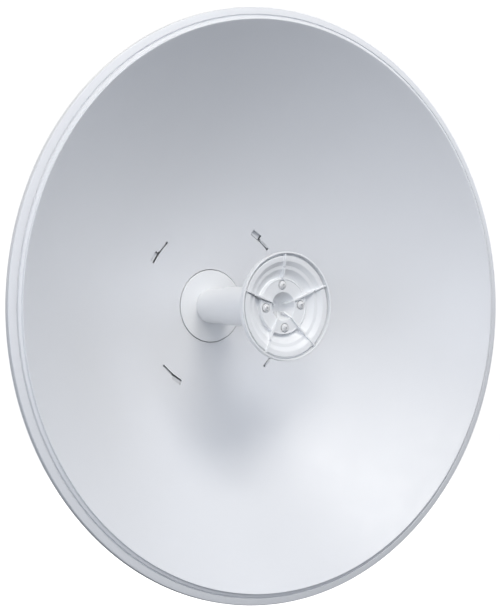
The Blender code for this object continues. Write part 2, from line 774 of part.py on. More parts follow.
make_reflector()
make_feed()
make_subreflector()
make_cap()
make_cap_screws()
make_hub()
make_housing()
for ear_side, ear_word in ((-1, "left"), (1, "right")):
    make_ear(ear_side, ear_word)
    make_tilt_bolts(ear_side, ear_word)
make_bracket()
for jaw_word, jaw_z in (("lower", -JAW_Z), ("upper", JAW_Z)):
    make_jaw(f"front_jaw_{jaw_word}", WEB_REAR + SEAT_GAP, 1, jaw_z)
    make_jaw(f"rear_jaw_{jaw_word}", JAW_BACK, -1, jaw_z)
make_clamp_bolts()
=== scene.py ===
"""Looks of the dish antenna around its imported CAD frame. Metres, +Z up. The dish looks along -Y.

Turned pieces are made in the dish's own frame, whose +Z is the dish's axis towards the front and whose
+Y is up. The feed's pieces are also turned a little round that axis.
"""

import math

import bmesh
import bpy
from mathutils import Matrix, Vector


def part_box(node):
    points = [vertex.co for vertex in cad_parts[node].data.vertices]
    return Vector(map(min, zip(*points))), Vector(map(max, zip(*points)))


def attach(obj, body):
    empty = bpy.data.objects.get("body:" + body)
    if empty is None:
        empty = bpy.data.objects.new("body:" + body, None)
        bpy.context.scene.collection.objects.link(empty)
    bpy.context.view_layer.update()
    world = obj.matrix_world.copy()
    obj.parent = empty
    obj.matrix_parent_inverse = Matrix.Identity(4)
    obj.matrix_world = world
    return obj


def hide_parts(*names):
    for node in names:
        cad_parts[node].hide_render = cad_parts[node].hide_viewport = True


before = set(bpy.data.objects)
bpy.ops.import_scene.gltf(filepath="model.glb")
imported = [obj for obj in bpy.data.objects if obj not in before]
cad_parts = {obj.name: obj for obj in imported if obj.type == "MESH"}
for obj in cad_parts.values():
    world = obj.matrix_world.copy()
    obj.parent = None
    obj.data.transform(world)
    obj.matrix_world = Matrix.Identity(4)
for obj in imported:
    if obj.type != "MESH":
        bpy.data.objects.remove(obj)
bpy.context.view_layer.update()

SEAT_GAP = 0.0003

# Bowl: a paraboloid, with four slots whose ends differ in width
FOCAL_LENGTH = 0.155
BOWL_RADIUS = 0.3108
SHEET = 0.0015
VERTEX_Y = -0.150
BOWL_RINGS = 64
BOWL_STEPS = 288
SLOT_RADIUS = 0.0986
# Where the first slot's wide end begins, in degrees clockwise from the top
SLOT_START = 28.6
SLIT_WIDTH = 0.0030
SLIT_ANGLE = 10.4
KEY_WIDTH = 0.0068
KEY_ANGLE = 7.6

# Feed, from the base disc at the bowl's centre to the front of the subreflector
BASE_RADIUS = 0.0430
TUBE_RADIUS = 0.0206
FEED_TURN = math.radians(4.66)
SPLASH_RADIUS = 0.0598
SPLASH_FRONT = 0.1578
SPLASH_DEPTH = 0.0365
CAP_RADIUS = SPLASH_RADIUS - 0.0023
CAP_DISC = SPLASH_FRONT - 0.0088
# Anticlockwise from +X as seen from the front, before the feed's own turn
RIB_ANGLES = (89.0, 20.0, -53.4, -124.1, 158.8)
RIB_HALF = 0.0008
SCREW_CIRCLE = 0.0235
WELL_DEPTH = 0.0024

# Rear: hub, tilt ears, mast bracket and clamp
HUB_DEPTH = 0.0260
HUB_RADIUS = 0.1160
HUB_Y = VERTEX_Y + HUB_DEPTH
EAR_INNER_X = 0.0530
EAR_THICKNESS = 0.0050
PLATE = 0.0040
WEB_REAR = -0.0010
WEB_FRONT = WEB_REAR - PLATE
BOLT_RADIUS = 0.0040
BOLT_HOLE = BOLT_RADIUS + 0.0004
TILT_Y = -0.041
TILT_Z = 0.028
CLAMP_X = 0.048
CLAMP_Z = 0.070
JAW_HALF = 0.015
REAR_JAW_BACK = 0.076
WASHER_RADIUS = 0.0074
WASHER_HEIGHT = 0.0010
HEX_FLATS = 0.0128
NUT_HEIGHT = 0.0055
# A nut and its washer together
NUT_REACH = 0.0065
SIDES = ((-1, "left"), (1, "right"))

DISH = Matrix.Translation((0, VERTEX_Y, 0)) @ Matrix.Rotation(math.pi / 2, 4, "X")
FEED = DISH @ Matrix.Rotation(FEED_TURN, 4, "Z")


# Node helpers


class Look:
    """A Principled material with short calls for its nodes, in the object's own coordinates in metres."""

    def __init__(self, name, colour, roughness, metallic=0.0):
        self.material = bpy.data.materials.new(name)
        self.material.use_nodes = True
        self.tree = self.material.node_tree
        self.shader = self.tree.nodes["Principled BSDF"]
        self.shader.inputs["Base Color"].default_value = (*colour, 1.0)
        self.shader.inputs["Roughness"].default_value = roughness
        self.shader.inputs["Metallic"].default_value = metallic
        self.place = self.add("ShaderNodeTexCoord").outputs["Object"]
        self.height = None

    def add(self, kind, **inputs):
        node = self.tree.nodes.new(kind)
        for key, value in inputs.items():
            self.feed(node.inputs[key.replace("_", " ")], value)
        return node

    def feed(self, socket, value):
        if isinstance(value, bpy.types.NodeSocket):
            self.tree.links.new(value, socket)
        else:
            socket.default_value = value

    def stretched(self, scale):
        node = self.add("ShaderNodeMapping", Vector=self.place)
        node.inputs["Scale"].default_value = scale
        return node.outputs["Vector"]

    def noise(self, scale, detail=2.0, where=None):
        node = self.add("ShaderNodeTexNoise", Vector=where or self.place, Scale=scale, Detail=detail)
        return node.outputs["Fac"]

    def cells(self, scale):
        node = self.add("ShaderNodeTexVoronoi", Vector=self.place, Scale=scale)
        return node.outputs["Color"]

    def ranged(self, value, low, high, start=0.0, end=1.0):
        node = self.add("ShaderNodeMapRange", Value=value)
        for key, number in (("From Min", start), ("From Max", end), ("To Min", low), ("To Max", high)):
            node.inputs[key].default_value = number
        return node.outputs["Result"]

    def mixed(self, factor, first, second):
        node = self.add("ShaderNodeMix")
        node.data_type = "RGBA"
        self.feed(node.inputs["Factor"], factor)
        self.feed(node.inputs["A"], (*first, 1.0) if isinstance(first, tuple) else first)
        self.feed(node.inputs["B"], (*second, 1.0) if isinstance(second, tuple) else second)
        return node.outputs["Result"]

    def bump(self, value, depth):
        """Adds one layer of relief; depth is its height in metres."""
        node = self.add("ShaderNodeBump", Height=value)
        node.inputs["Strength"].default_value = 1.0
        node.inputs["Distance"].default_value = depth
        if self.height is not None:
            self.tree.links.new(self.height, node.inputs["Normal"])
        self.height = node.outputs["Normal"]
        self.tree.links.new(self.height, self.shader.inputs["Normal"])

    def set(self, key, value):
        self.feed(self.shader.inputs[key], value)


def shade(colour, share):
    return tuple(part * share for part in colour)


def painted_look(name, colour, roughness):
    """Powder coat: fine orange peel, a slow drift of tone and of gloss."""
    look = Look(name, colour, roughness)
    look.set("Base Color", look.mixed(look.noise(14.0, 3.0), shade(colour, 0.985), shade(colour, 1.01)))
    look.set("Roughness", look.ranged(look.noise(60.0, 4.0), roughness - 0.05, roughness + 0.05, 0.3, 0.7))
    look.bump(look.noise(900.0, 2.0), 0.00002)
    look.bump(look.noise(160.0, 1.0), 0.00003)
    return look


def moulded_look(name, colour, roughness):
    """Moulded plastic: fine spark-eroded grain, faint flow marks."""
    look = Look(name, colour, roughness)
    flow = look.noise(22.0, 3.0, look.stretched((1.0, 0.35, 1.0)))
    look.set("Base Color", look.mixed(flow, shade(colour, 0.98), shade(colour, 1.01)))
    look.set("Roughness", look.ranged(look.noise(90.0, 3.0), roughness - 0.06, roughness + 0.04, 0.3, 0.7))
    look.bump(look.noise(2600.0, 2.0), 0.000012)
    return look


def zinc_look(name):
    """Hot-dip zinc on steel: crystal flakes of slightly different greys, dull patches, fine grain."""
    colour = (0.52, 0.54, 0.56)
    look = Look(name, colour, 0.42, 1.0)
    flake = look.add("ShaderNodeSeparateColor", Color=look.cells(130.0)).outputs["Red"]
    large = look.add("ShaderNodeSeparateColor", Color=look.cells(48.0)).outputs["Green"]
    sum_of_both = look.add("ShaderNodeMath")
    sum_of_both.operation = "ADD"
    look.feed(sum_of_both.inputs[0], flake)
    look.feed(sum_of_both.inputs[1], large)
    tone = look.ranged(sum_of_both.outputs[0], 0.0, 1.0, 0.0, 2.0)
    look.set("Base Color", look.mixed(tone, shade(colour, 0.82), shade(colour, 1.16)))
    look.set("Roughness", look.ranged(tone, 0.34, 0.55))
    look.bump(look.noise(1400.0, 3.0), 0.000015)
    look.bump(look.noise(110.0, 2.0), 0.00005)
    return look


def stainless_look(name):
    """Stainless steel with a fine drawn grain along Y and slight uneven gloss."""
    colour = (0.72, 0.72, 0.71)
    look = Look(name, colour, 0.3, 1.0)
    grain = look.noise(500.0, 3.0, look.stretched((1.0, 0.08, 1.0)))
    look.set("Base Color", look.mixed(look.noise(260.0, 2.0), shade(colour, 0.9), shade(colour, 1.08)))
    look.set("Roughness", look.ranged(grain, 0.22, 0.4, 0.3, 0.7))
    look.bump(grain, 0.000008)
    return look


COAT = painted_look("white_coat", (0.80, 0.81, 0.83), 0.36)
PLASTIC = moulded_look("white_plastic", (0.87, 0.88, 0.89), 0.4)
GREY_PLASTIC = moulded_look("grey_plastic", (0.55, 0.56, 0.58), 0.5)
ZINC = zinc_look("galvanised_steel")
TAB_COAT = painted_look("coated_tab_steel", (0.66, 0.67, 0.69), 0.4)
STEEL = stainless_look("stainless_steel")
PLATING = painted_look("plated_screw_steel", (0.80, 0.80, 0.80), 0.32)


# Mesh helpers


def rounded(points, closed=False, steps=5):
    """The points of an outline, each (x, y) or (x, y, radius), with its corners rounded to their radii."""
    made = []
    count = len(points)
    for index, (x, y, *rest) in enumerate(points):
        radius = rest[0] if rest else 0
        if not radius or (not closed and index in (0, count - 1)):
            made.append((x, y))
            continue
        corner = Vector((x, y))
        before = (Vector(points[index - 1][:2]) - corner).normalized()
        after = (Vector(points[(index + 1) % count][:2]) - corner).normalized()
        half = before.angle(after) / 2
        reach = radius / math.tan(half)
        centre = corner + (before + after).normalized() * (radius / math.sin(half))
        start, end = corner + before * reach - centre, corner + after * reach - centre
        turn = math.atan2(start.x * end.y - start.y * end.x, start.dot(end))
        for step in range(steps + 1):
            angle = turn * step / steps
            cos, sin = math.cos(angle), math.sin(angle)
            across, up = start.x * cos - start.y * sin, start.x * sin + start.y * cos
            made.append((centre.x + across, centre.y + up))
    return made


def mesh_object(name, verts, faces, place=None):
    """A new object from points and faces, with its normals turned outwards."""
    mesh = bpy.data.meshes.new(name)
    mesh.from_pydata([tuple(v) for v in verts], [], faces)
    if place is not None:
        mesh.transform(place)
    shape = bmesh.new()
    shape.from_mesh(mesh)
    bmesh.ops.recalc_face_normals(shape, faces=shape.faces)
    shape.to_mesh(mesh)
    shape.free()
    made = bpy.data.objects.new(name, mesh)
    bpy.context.scene.collection.objects.link(made)
    return made


def lathe(name, profile, steps, place, closed=False):
    """Turns (radius, height) points round local Z. A point on the axis becomes a single vertex."""
    verts, rings, faces = [], [], []
    for radius, height in profile:
        if radius < 1e-7:
            rings.append([len(verts)] * steps)
            verts.append((0, 0, height))
            continue
        rings.append(list(range(len(verts), len(verts) + steps)))
        for step in range(steps):
            angle = 2 * math.pi * step / steps
            verts.append((radius * math.cos(angle), radius * math.sin(angle), height))
    pairs = list(zip(rings, rings[1:]))
    if closed:
        pairs.append((rings[-1], rings[0]))
    for first, second in pairs:
        for step in range(steps):
            after = (step + 1) % steps
            face = [first[step], first[after], second[after], second[step]]
            face = list(dict.fromkeys(face))
            if len(face) > 2:
                faces.append(face)
    return mesh_object(name, verts, faces, place)


def prism(name, outline, low, high, place=None):
    """An outline in local XY drawn out along local Z."""
    count = len(outline)
    verts = [(x, y, low) for x, y in outline] + [(x, y, high) for x, y in outline]
    faces = [list(range(count)), list(range(count, 2 * count))]
    faces += [[i, (i + 1) % count, (i + 1) % count + count, i + count] for i in range(count)]
    return mesh_object(name, verts, faces, place)


def loft(name, sections, place=None, capped=True):
    """Rings of points, all of one length, joined in order."""
    count = len(sections[0])
    verts = [point for section in sections for point in section]
    faces = []
    for ring in range(len(sections) - 1):
        for i in range(count):
            j = (i + 1) % count
            low, high = ring * count, (ring + 1) * count
            faces.append([low + i, low + j, high + j, high + i])
    if capped:
        faces.append(list(range(count)))
        faces.append(list(range((len(sections) - 1) * count, len(sections) * count)))
    return mesh_object(name, verts, faces, place)


def box(name, low, high, place=None):
    """A block between two opposite corners."""
    outline = [(low[0], low[1]), (high[0], low[1]), (high[0], high[1]), (low[0], high[1])]
    return prism(name, outline, low[2], high[2], place)


def rod(name, radius, start, end, sides=32):
    """A plain cylinder from start to end."""
    start, end = Vector(start), Vector(end)
    turn = Vector((0, 0, 1)).rotation_difference(end - start).to_matrix().to_4x4()
    outline = [
        (radius * math.cos(2 * math.pi * i / sides), radius * math.sin(2 * math.pi * i / sides))
        for i in range(sides)
    ]
    return prism(name, outline, 0, (end - start).length, Matrix.Translation(start) @ turn)


def settle(piece):
    """Replaces the piece's mesh with what its modifiers make."""
    bpy.context.view_layer.update()
    mesh = bpy.data.meshes.new_from_object(piece.evaluated_get(bpy.context.evaluated_depsgraph_get()))
    piece.modifiers.clear()
    piece.data = mesh
    return piece


def combine(piece, others, operation="DIFFERENCE"):
    """Cuts the others out of the piece, or joins or intersects them with it, and removes them."""
    for other in others:
        step = piece.modifiers.new("combine", "BOOLEAN")
        step.operation = operation
        step.object = other
        step.solver = "EXACT"
    settle(piece)
    for other in others:
        bpy.data.objects.remove(other)
    return piece


def bevelled(piece, width, segments=3, angle=35):
    """Rounds the edges that are sharper than angle."""
    step = piece.modifiers.new("edges", "BEVEL")
    step.width = width
    step.segments = segments
    step.limit_method = "ANGLE"
    step.angle_limit = math.radians(angle)
    return settle(piece)


def joined(name, pieces):
    """Several objects' meshes in one object."""
    shape = bmesh.new()
    for piece in pieces:
        shape.from_mesh(piece.data)
        bpy.data.objects.remove(piece)
    mesh = bpy.data.meshes.new(name)
    shape.to_mesh(mesh)
    shape.free()
    made = bpy.data.objects.new(name, mesh)
    bpy.context.scene.collection.objects.link(made)
    return made


def dress(piece, look, slot, *nodes, angle=32):
    """Gives a piece its shading, sharp over angle, its look, body and the nodes it stands for. The slot is
    not used.
    """
    piece.data.materials.clear()
    piece.data.materials.append(look.material)
    piece.data.shade_smooth()
    piece.data.set_sharp_from_angle(angle=math.radians(angle))
    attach(piece, "root")
    if nodes:
        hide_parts(*nodes)
    return piece


# Reflector


def front_of_sheet(radius):
    """Height of the bowl's front face at this radius."""
    return radius**2 / (4 * FOCAL_LENGTH)


def back_of_sheet(radius):
    """Height of the bowl's back face, one sheet behind the front across its slope."""
    slope = radius / (2 * FOCAL_LENGTH)
    return front_of_sheet(radius) - SHEET * math.sqrt(1 + slope**2)


def clock(radius, degrees):
    """A point of the dish frame at this angle, clockwise from the top as seen from the front."""
    angle = math.radians(degrees)
    return radius * math.sin(angle), radius * math.cos(angle)


def reflector_profile():
    """The whole section as radius and height: the bowl's front, the stepped rim and the bowl's back."""
    hole = BASE_RADIUS + 0.0006
    edge = BOWL_RADIUS - 0.0012
    radii = [hole + (edge - hole) * i / BOWL_RINGS for i in range(BOWL_RINGS + 1)]
    crest = front_of_sheet(BOWL_RADIUS)
    rim = rounded(
        [
            (edge, front_of_sheet(edge)),
            (0.3113, crest + 0.0002, 0.0005),
            (0.3121, crest - 0.0021, 0.0003),
            (0.3148, crest - 0.0025, 0.0005),
            (0.3154, crest - 0.0052, 0.0002),
            (0.3163, crest - 0.0052, 0.0002),
            (0.3166, crest - 0.0034, 0.0003),
            (0.3243, crest - 0.0045, 0.0014),
            (0.3250, crest - 0.0104, 0.0006),
            (0.3236, crest - 0.0104, 0.0006),
            (0.3230, crest - 0.0066, 0.0008),
            (0.3145, crest - 0.0066, 0.0010),
            (0.3138, crest - 0.0043, 0.0006),
            (0.3114, crest - 0.0036, 0.0006),
            (edge, back_of_sheet(edge)),
        ]
    )
    front = [(r, front_of_sheet(r)) for r in radii[:-1]]
    back = [(r, back_of_sheet(r)) for r in reversed(radii[:-1])]
    return front + rim + back


def slot_outline(start):
    """One slot, clockwise from its wide end to the narrow slit that a tab stands in."""
    inner, slit, key = SLOT_RADIUS, SLOT_RADIUS + SLIT_WIDTH, SLOT_RADIUS + KEY_WIDTH
    turn = start + KEY_ANGLE
    end = turn + SLIT_ANGLE
    points = [
        (*clock(inner, start), 0.0008),
        (*clock(key, start), 0.0008),
        (*clock(key, turn), 0.0008),
        (*clock(slit, turn), 0.0006),
        (*clock(slit, (turn + end) / 2), 0.0),
        (*clock(slit, end), 0.0012),
        (*clock(inner, end), 0.0012),
        (*clock(inner, (turn + end) / 2), 0.0),
        (*clock(inner, turn), 0.0),
    ]
    return rounded(points, closed=True, steps=4)


def make_reflector():
    """The bowl with its rim, and the four slots cut through its sheet."""
    dish = lathe("dish_skin", reflector_profile(), BOWL_STEPS, None, closed=True)
    cutters = [
        prism(f"slot_{index}", slot_outline(SLOT_START + 90 * index), 0.005, 0.030) for index in range(4)
    ]
    combine(dish, cutters)
    dish.data.transform(DISH)
    dress(dish, COAT, "white_coat", "reflector_dish", angle=28)


def make_tabs():
    """Steel tabs that stand up from the hub's floor into the slits."""
    for index in range(4):
        middle = SLOT_START + 90 * index + KEY_ANGLE + SLIT_ANGLE / 2
        turn = Matrix.Rotation(-math.radians(middle), 4, "Z")
        inner = SLOT_RADIUS + 0.0014
        top = front_of_sheet(SLOT_RADIUS) + 0.0002
        low, high = (-0.0068, inner, 0.0043 - HUB_DEPTH), (0.0068, inner + 0.0014, top)
        tab = box(f"locking_tab_{index + 1}", low, high, turn)
        bevelled(tab, 0.0002, 2)
        tab.data.transform(DISH)
        dress(tab, TAB_COAT, "galvanised_steel", f"lock_tab_{index + 1}")


# Feed


def make_feed():
    """The base disc with its neck, the tube, and the sleeve round the tube's front stretch."""
    top = front_of_sheet(BASE_RADIUS)
    end = SEAT_GAP - HUB_DEPTH
    base = [
        (0, top),
        (0.0250, top),
        (BASE_RADIUS - 0.0040, top + 0.0008, 0.01),
        (BASE_RADIUS - 0.0003, top + 0.0010, 0.0004),
        (BASE_RADIUS - 0.0003, top - 0.003, 0.0003),
        (0.028, top - 0.003),
        (0.028, end, 0.0008),
        (0, end),
    ]
    dress(lathe("feed_base_disc", rounded(base), 128, DISH), PLASTIC, "white_plastic", "feed_base")
    stop = SPLASH_FRONT - SPLASH_DEPTH - SEAT_GAP
    foot = top + SEAT_GAP
    tube = [(0, stop), (TUBE_RADIUS, stop), (TUBE_RADIUS, foot, 0.0004), (0, foot)]
    dress(lathe("feed_tube_body", rounded(tube), 96, DISH), PLASTIC, "white_plastic", "feed_tube")
    bore, outer = TUBE_RADIUS + SEAT_GAP, TUBE_RADIUS + SEAT_GAP + 0.0016
    sleeve = [
        (bore, stop),
        (outer, stop, 0.0003),
        (outer, 0.0428, 0.0008),
        (outer - 0.0008, 0.0420, 0.0004),
        (bore, 0.0420),
    ]
    sleeve = lathe("feed_sleeve_body", rounded(sleeve), 96, DISH, closed=True)
    dress(sleeve, PLASTIC, "white_plastic", "feed_sleeve")


def make_subreflector():
    """The thin-walled splash plate that carries the cap."""
    wall = 0.0020
    r, top = SPLASH_RADIUS, SPLASH_FRONT
    profile = [
        (0, top - 0.0345),
        (0.0228, top - 0.0345, 0.002),
        (0.0428, top - 0.0228, 0.006),
        (r - wall, top - 0.0068, 0.003),
        (r - wall, top, 0.0006),
        (r, top, 0.0007),
        (r, top - 0.006, 0.002),
        (0.0440, top - 0.0240, 0.007),
        (0.0238, top - SPLASH_DEPTH, 0.002),
        (0, top - SPLASH_DEPTH),
    ]
    dress(lathe("splash_plate", rounded(profile), 128, FEED), PLASTIC, "white_plastic", "subreflector")


def rib_turn(index):
    """Stands an outline in the plane of radius and height up at this rib's angle."""
    return Matrix.Rotation(math.radians(RIB_ANGLES[index]), 4, "Z") @ Matrix.Rotation(math.pi / 2, 4, "X")


def rib_mesh(index):
    """One radial rib as a prism. The uppermost rib ends at the raised disc."""
    top, disc = SPLASH_FRONT, CAP_DISC
    outer = CAP_RADIUS - 0.0002
    over = [
        (0.0070, disc - 0.0062),
        (0.0160, disc + 0.0016, 0.002),
        (0.0310, top - 0.0054, 0.004),
        (0.0412, top - 0.0030, 0.0006),
        (0.0418, top - 0.0050, 0.0005),
        (0.0430, top - 0.0050, 0.0005),
        (0.0438, top - 0.0022, 0.0008),
        (outer - 0.0060, top - 0.0006, 0.001),
        (outer, top - 0.0002, 0.0006),
        (outer, top - 0.006),
    ]
    under = [(0.0330, top - 0.0160), (0.0070, disc - 0.0120)]
    if index == 0:
        over[0:2] = []
        over[0] = (0.0310, top - 0.0056)
        under = [(0.0310, top - 0.0160)]
    return prism(f"rib_{index}", rounded(over + under, closed=True), -RIB_HALF, RIB_HALF, rib_turn(index))


def undercut(index, side):
    """A narrow gap along the lower side of a rib, where the photograph shows a dark line."""
    top, disc = SPLASH_FRONT, CAP_DISC
    outline = [
        (0.0165, disc + 0.0030),
        (0.0535, top + 0.0010),
        (0.0535, top - 0.0055),
        (0.0410, top - 0.0100),
        (0.0310, top - 0.0170),
        (0.0165, disc - 0.0030),
    ]
    near, far = sorted((side * RIB_HALF, side * 0.0018))
    return prism("undercut", outline, near, far, rib_turn(index))


def make_cap():
    """The moulded cap: an outer ring behind a groove, two inner steps, a raised disc and the funnel."""
    top, disc = SPLASH_FRONT, CAP_DISC
    profile = [
        (0, disc - 0.0190),
        (0.0078, disc - 0.0190, 0.0020),
        (0.0134, disc - 0.0070, 0.0050),
        (0.0156, disc, 0.0008),
        (0.0290, disc, 0.0004),
        (0.0294, disc + 0.0006, 0.0003),
        (0.0306, disc + 0.0006, 0.0005),
        (0.0310, top - 0.0140, 0.0004),
        (0.0408, top - 0.0064, 0.0008),
        (0.0446, top - 0.0057, 0.0008),
        (0.0494, top - 0.0025, 0.0010),
        (0.0553, top - 0.0018, 0.0008),
        (0.0555, top - 0.0065, 0.0003),
        (CAP_RADIUS, top - 0.0065, 0.0002),
        (CAP_RADIUS, top - 0.0075, 0.0008),
        (0.0425, top - 0.0221, 0.004),
        (0.0226, top - 0.0340, 0.002),
        (0, top - 0.0340),
    ]
    cap = lathe("cap_body", rounded(profile), 128, None)
    wells = []
    for index in range(4):
        floor, reach = disc - WELL_DEPTH, 0.0053
        well = lathe("well", [(0, floor), (reach, floor), (reach, top), (0, top)], 40, None)
        well.data.transform(Matrix.Translation((*clock(SCREW_CIRCLE, 90 * index), 0)))
        wells.append(well)
    combine(cap, wells + [undercut(1, 1), undercut(4, -1)])
    combine(cap, [rib_mesh(index) for index in range(5)], "UNION")
    cap.data.transform(FEED)
    dress(cap, PLASTIC, "white_plastic", "feed_cap")


def make_cap_screws():
    """Flanged heads that stand in the disc's wells, each with a cross recess."""
    seat = CAP_DISC + SEAT_GAP
    profile = [
        (0, 0.0026),
        (0.0023, 0.0024, 0.0008),
        (0.0026, 0.0010, 0.0003),
        (0.0043, 0.0008, 0.0004),
        (0.0043, -WELL_DEPTH),
        (0, -WELL_DEPTH),
    ]
    for index in range(4):
        place = Matrix.Translation((*clock(SCREW_CIRCLE, 90 * index), seat))
        head = lathe("head", rounded(profile), 40, None)
        turn = Matrix.Rotation(math.radians(25 + 31 * index), 4, "Z")
        bars = [
            box("bar", (-0.0014, -0.0006, 0.0004), (0.0014, 0.0006, 0.0030), turn),
            box("bar", (-0.0006, -0.0014, 0.0004), (0.0006, 0.0014, 0.0030), turn),
        ]
        combine(head, bars)
        head.data.transform(FEED @ place)
        head.name = f"pan_head_{index + 1}"
        dress(head, PLATING, "stainless_steel", f"cap_screw_{index + 1}")


# Rear


def make_hub():
    """The drum behind the bowl: a ribbed ring on its rear, grip ribs round it, bosses behind the slots."""
    wall, depth = 0.004, HUB_DEPTH
    outer, inner = HUB_RADIUS, HUB_RADIUS - wall
    profile = [
        (outer, back_of_sheet(outer) - SEAT_GAP),
        (outer, -depth, 0.008),
        (0.1055, -depth, 0.0006),
        (0.1050, -depth + 0.002, 0.0006),
        (0.0990, -depth + 0.002, 0.0006),
        (0.0985, -depth, 0.0006),
        (0.0340, -depth, 0.001),
        (0.0340, -depth + wall, 0.001),
        (inner, -depth + wall, 0.008),
        (inner, back_of_sheet(inner) - SEAT_GAP),
    ]
    hub = lathe("hub_drum", rounded(profile, closed=True), 160, None, closed=True)
    ribs = []
    for index in range(36):
        turn = Matrix.Rotation(math.radians(10 * index + 5), 4, "Z")
        ribs.append(box("rib", (outer - 0.002, -0.0016, -0.016), (outer + 0.0016, 0.0016, 0.014), turn))
        ribs.append(box("rib", (0.0982, -0.0008, -depth), (0.1058, 0.0008, -depth + 0.0025), turn))
    for index in range(4):
        middle = SLOT_START + 90 * index + KEY_ANGLE / 2
        turn = Matrix.Rotation(-math.radians(middle), 4, "Z")
        low = (-0.0080, SLOT_RADIUS + 0.0012, 0.0030 - depth)
        high = (0.0062, SLOT_RADIUS + KEY_WIDTH + 0.0012, back_of_sheet(SLOT_RADIUS) - 0.0004)
        ribs.append(box("boss", low, high, turn))
    combine(hub, [joined("ribs", ribs)], "UNION")
    hub.data.transform(DISH)
    dress(hub, COAT, "white_coat", "rear_hub", angle=30)


def rounded_rectangle(half_x, half_z, radius, y, steps=8):
    """Points of a rounded rectangle in the plane of X and Z."""
    corners = ((half_x, half_z), (-half_x, half_z), (-half_x, -half_z), (half_x, -half_z))
    points = rounded([(x, z, radius) for x, z in corners], closed=True, steps=steps)
    return [(x, y, z) for x, z in points]


def make_housing():
    """The radio housing in two halves with a seam, and ribs on its rear."""
    face = HUB_Y + SEAT_GAP
    half_x, half_z = 0.048, 0.065
    # Depth behind the hub's face, how far the sides stand in, and the corners' radius
    rows = [
        (0.0, 0.0030, 0.0115),
        (0.0008, 0.0012, 0.0115),
        (0.0030, 0.0, 0.012),
        (0.0400, 0.0, 0.012),
        (0.0404, 0.0012, 0.011),
        (0.0414, 0.0012, 0.011),
        (0.0418, 0.0, 0.012),
        (0.0620, 0.0006, 0.012),
        (0.0658, 0.0016, 0.0115),
        (0.0684, 0.0038, 0.0110),
        (0.0697, 0.0068, 0.0100),
        (0.0700, 0.0100, 0.0090),
    ]
    sections = [
        rounded_rectangle(half_x - inset, half_z - inset, radius, face + depth)
        for depth, inset, radius in rows
    ]
    housing = loft("housing_shell", sections)
    rear = face + 0.070
    details = [
        box("rib", (x - 0.0010, rear - 0.002, -0.044), (x + 0.0010, rear + 0.0016, 0.044))
        for x in (-0.027, -0.018, -0.009, 0.0, 0.009, 0.018, 0.027)
    ]
    combine(housing, [joined("ribs", details)], "UNION")
    dress(housing, PLASTIC, "white_plastic", "radio_housing", angle=30)


def make_port_cover():
    """The rounded cover of the cable entry, with finger grooves on its underside."""
    low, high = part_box("port_cover")
    middle = ((low.x + high.x) / 2, (low.y + high.y) / 2)
    half = ((high.x - low.x) / 2, (high.y - low.y) / 2)
    # Height, and how far the sides stand in
    levels = [
        (high.z, 0.0006),
        (high.z - 0.0008, 0.0),
        (low.z + 0.003, 0.0004),
        (low.z + 0.001, 0.0014),
        (low.z, 0.0034),
    ]
    sections = []
    for height, inset in levels:
        points = [(half[0] - inset, half[1] - inset), (inset - half[0], half[1] - inset)]
        points += [(inset - half[0], inset - half[1]), (half[0] - inset, inset - half[1])]
        ring = rounded([(x, y, 0.005) for x, y in points], closed=True, steps=6)
        sections.append([(x + middle[0], y + middle[1], height) for x, y in ring])
    cover = loft("entry_cover", sections)
    grooves = []
    for offset in (-0.006, -0.003, 0.0, 0.003, 0.006):
        x, y = middle[0], middle[1] + offset
        near, far = (x - 0.012, y - 0.0006, low.z - 0.001), (x + 0.012, y + 0.0006, low.z + 0.0008)
        grooves.append(box("groove", near, far))
    combine(cover, [joined("grooves", grooves)])
    dress(cover, GREY_PLASTIC, "white_plastic", "port_cover", angle=30)


# Fasteners


def hexagon_radius(flats, angle):
    """Distance from the axis to a hexagon's side at this angle."""
    side = (angle + math.pi / 6) % (math.pi / 3) - math.pi / 6
    return flats / 2 / math.cos(side)


def hex_body(flats, height, hole=0.0, both=False, steps=48):
    """Rings of a hexagon from height 0 up, its upper corners or both chamfered, with a hole or closed."""
    slope = math.tan(math.radians(30))
    corner = flats / 2 / math.cos(math.pi / 6)
    flat_radius = flats * 0.475
    rise = (corner - flat_radius) * slope
    levels = [0.0] if not both else [0.0, rise * 0.5, rise]
    levels += [height - rise, height - rise * 0.66, height - rise * 0.33, height]
    rings = []
    for level in levels:
        limit = flat_radius + (height - level) / slope
        if both:
            limit = min(limit, flat_radius + level / slope)
        ring = []
        for step in range(steps):
            angle = 2 * math.pi * step / steps
            radius = min(hexagon_radius(flats, angle), limit)
            ring.append((radius * math.cos(angle), radius * math.sin(angle), level))
        rings.append(ring)
    if hole:
        turns = [2 * math.pi * step / steps for step in range(steps)]
        lead = hole * 0.12
        bore = ((hole * 1.12, height), (hole, height - lead), (hole, lead), (hole * 1.12, 0.0))
        for radius, level in bore:
            rings.append([(radius * math.cos(a), radius * math.sin(a), level) for a in turns])
        rings.append(rings[0])
    return rings


def thread(radius, start, end, pitch=0.00125, steps=20):
    """A threaded rod along local Z from start to end: one helical grid with a plain cone tip."""
    root = radius - 0.61 * pitch * 0.9
    turns = math.ceil((end - start) / pitch) + 1
    sections = []
    for ring in range(2 * turns + 1):
        points = []
        for step in range(steps):
            angle = 2 * math.pi * step / steps
            height = start + pitch * (ring / 2 - 1 + step / steps)
            out = radius if ring % 2 else root
            out = min(out, root + max(0.0, end - height))
            height = min(max(height, start), end)
            points.append((out * math.cos(angle), out * math.sin(angle), height))
        sections.append(points)
    return sections


def shank(length):
    """The threaded part below a head, from just inside the head down."""
    return loft("shank", [[(x, y, -z) for x, y, z in ring] for ring in thread(BOLT_RADIUS, -0.001, length)])


def along(origin, direction):
    """A frame at origin whose local Z points along direction."""
    turn = Vector((0, 0, 1)).rotation_difference(Vector(direction)).to_matrix().to_4x4()
    return Matrix.Translation(origin) @ turn


